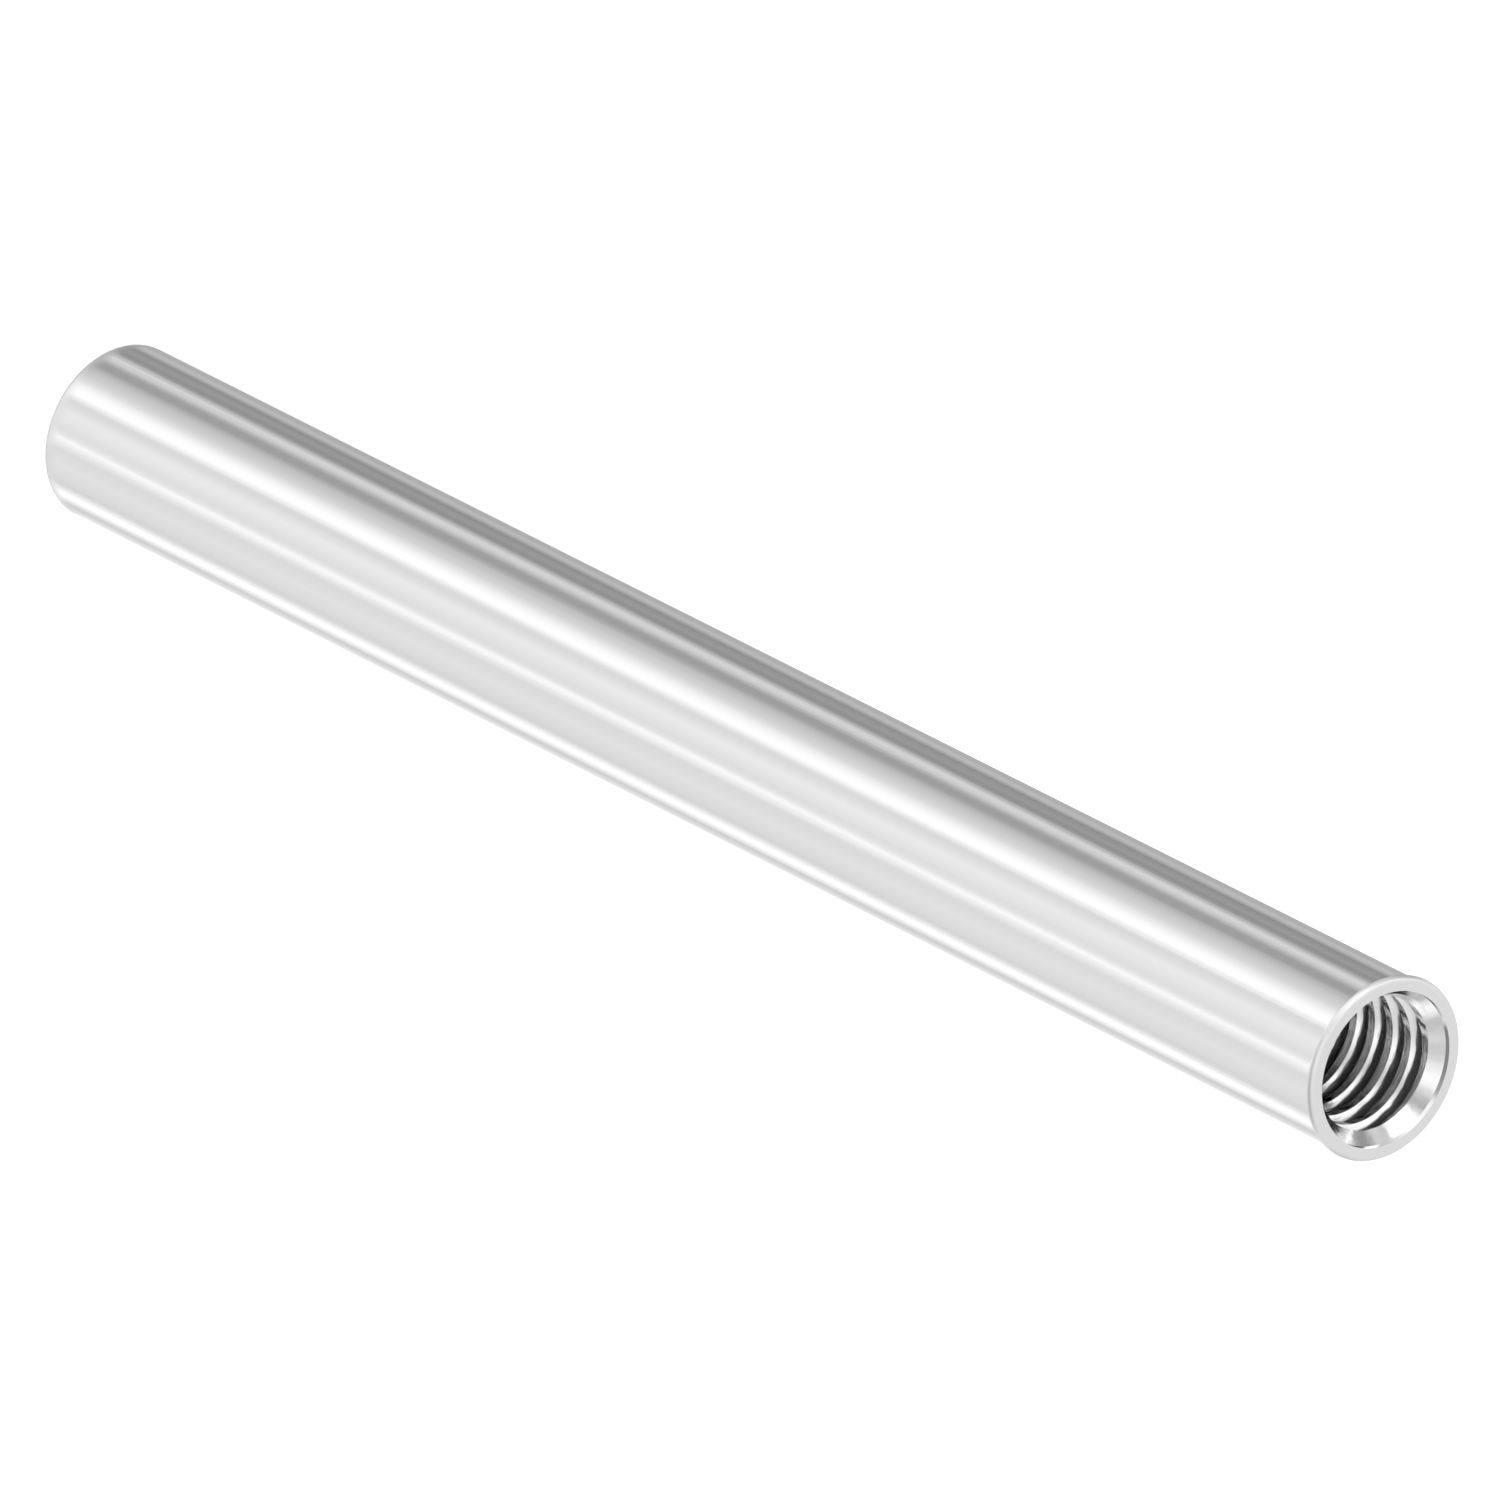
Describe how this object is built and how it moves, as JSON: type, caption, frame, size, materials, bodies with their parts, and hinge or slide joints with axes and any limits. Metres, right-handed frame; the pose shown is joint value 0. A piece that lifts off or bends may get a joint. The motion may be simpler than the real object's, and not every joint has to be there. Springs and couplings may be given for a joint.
{
  "type": "threaded swage terminal",
  "caption": "Plain round stainless tube for a wire rope end: a left-hand internal thread with a countersunk, lipped mouth at the top and a blind wire hole at the bottom.",
  "frame": {"origin": "centre of the wire end face, on the turning axis, where the terminal stands", "axes": "+Z along the turning axis, up from the wire end to the threaded mouth"},
  "size_m": [0.0071, 0.007, 0.0726],
  "materials": {
    "stainless": "bright drawn and lightly polished stainless steel"
  },
  "bodies": {
    "root": {"swage_terminal": "stainless"}
  },
  "joints": []
}
